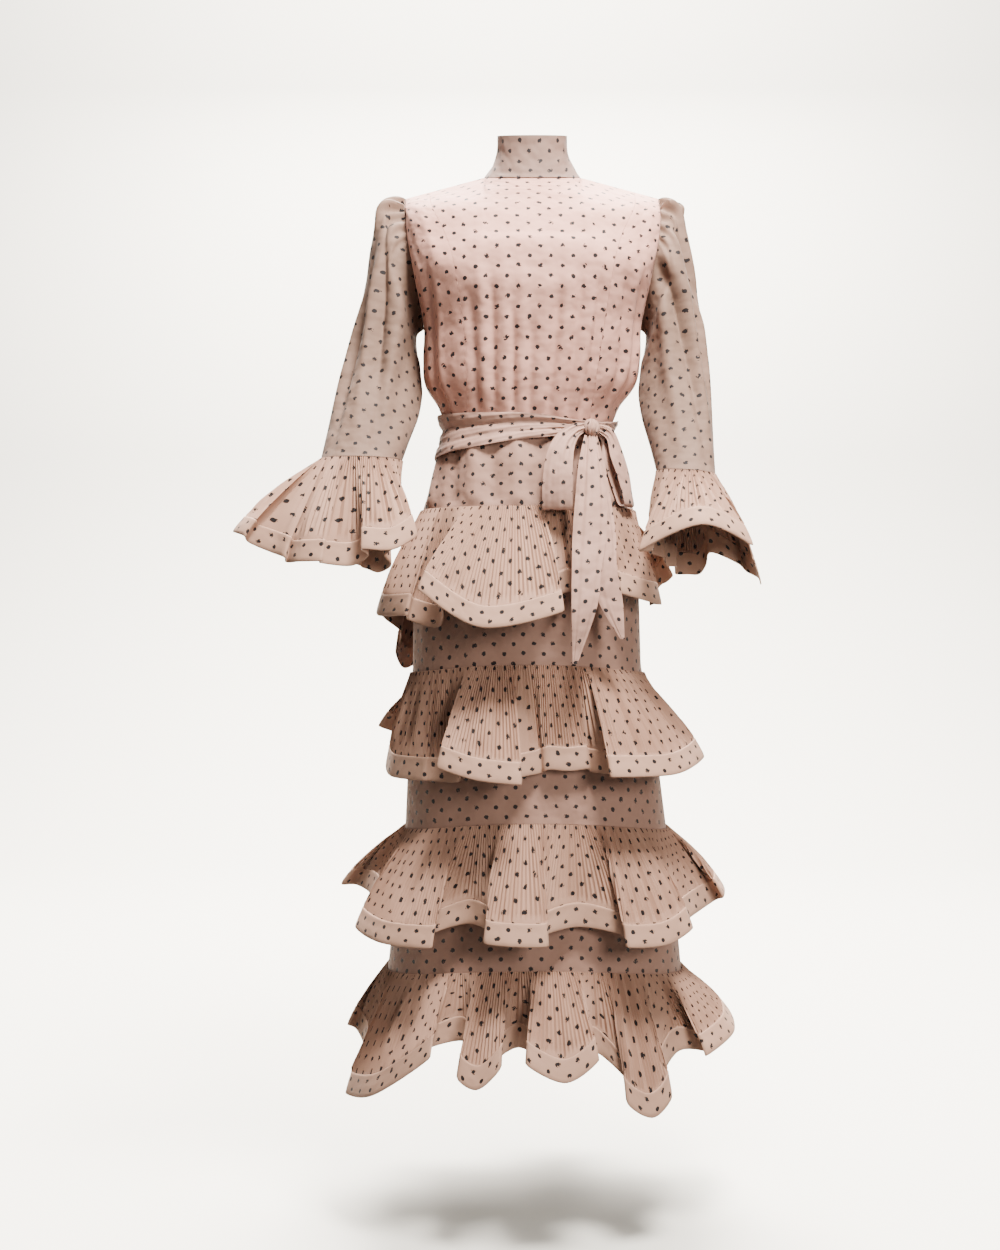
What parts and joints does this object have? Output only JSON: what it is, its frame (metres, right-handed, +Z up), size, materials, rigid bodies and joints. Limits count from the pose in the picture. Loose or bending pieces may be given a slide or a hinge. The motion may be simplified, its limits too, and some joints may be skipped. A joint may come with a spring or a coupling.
{
  "type": "midi dress",
  "caption": "Worn-form midi dress: stand collar, princess-seamed bodice, gathered sleeves with pleated bell cuffs, tied sash, and a tube skirt with pleated flounces.",
  "frame": {"origin": "middle of the neckline at the height of the two neck points, where the wearer's shoulders carry the dress", "axes": "+Z up, -Y out of the front of the dress, +X to the viewer's right"},
  "size_m": [0.7399, 0.4921, 1.369],
  "materials": {
    "bodice_crepe": "matt crepe, dusty pink with small dark dots",
    "sleeve_crepe": "matt crepe, grey-beige with small dark dots",
    "skirt_crepe": "matt crepe in shade, with small dark dots",
    "flounce_crepe": "fine pressed pleats in crepe, with small dark dots",
    "band_crepe": "doubled plain crepe, with small dark dots",
    "sash_crepe": "soft crepe with a slight sheen and small dark dots"
  },
  "bodies": {
    "root": {"collar": "bodice_crepe", "centre_front": "bodice_crepe", "side_front_left": "bodice_crepe", "side_front_right": "bodice_crepe", "back_left": "bodice_crepe", "back_right": "bodice_crepe", "sleeve_left": "sleeve_crepe", "sleeve_right": "sleeve_crepe", "cuff_flounce_left": "flounce_crepe", "cuff_flounce_right": "flounce_crepe", "cuff_band_left": "band_crepe", "cuff_band_right": "band_crepe", "sash_wrap": "sash_crepe", "sash_knot": "sash_crepe", "bow_loop_left": "sash_crepe", "bow_loop_right": "sash_crepe", "sash_tail_front": "sash_crepe", "sash_tail_back": "sash_crepe", "skirt_1_front": "skirt_crepe", "skirt_1_back": "skirt_crepe", "skirt_2_front": "skirt_crepe", "skirt_2_back": "skirt_crepe", "skirt_3_front": "skirt_crepe", "skirt_3_back": "skirt_crepe", "skirt_4_front": "skirt_crepe", "skirt_4_back": "skirt_crepe", "flounce_1": "flounce_crepe", "flounce_2": "flounce_crepe", "flounce_3": "flounce_crepe", "flounce_4": "flounce_crepe", "flounce_band_1": "band_crepe", "flounce_band_2": "band_crepe", "flounce_band_3": "band_crepe", "flounce_band_4": "band_crepe"}
  },
  "joints": []
}
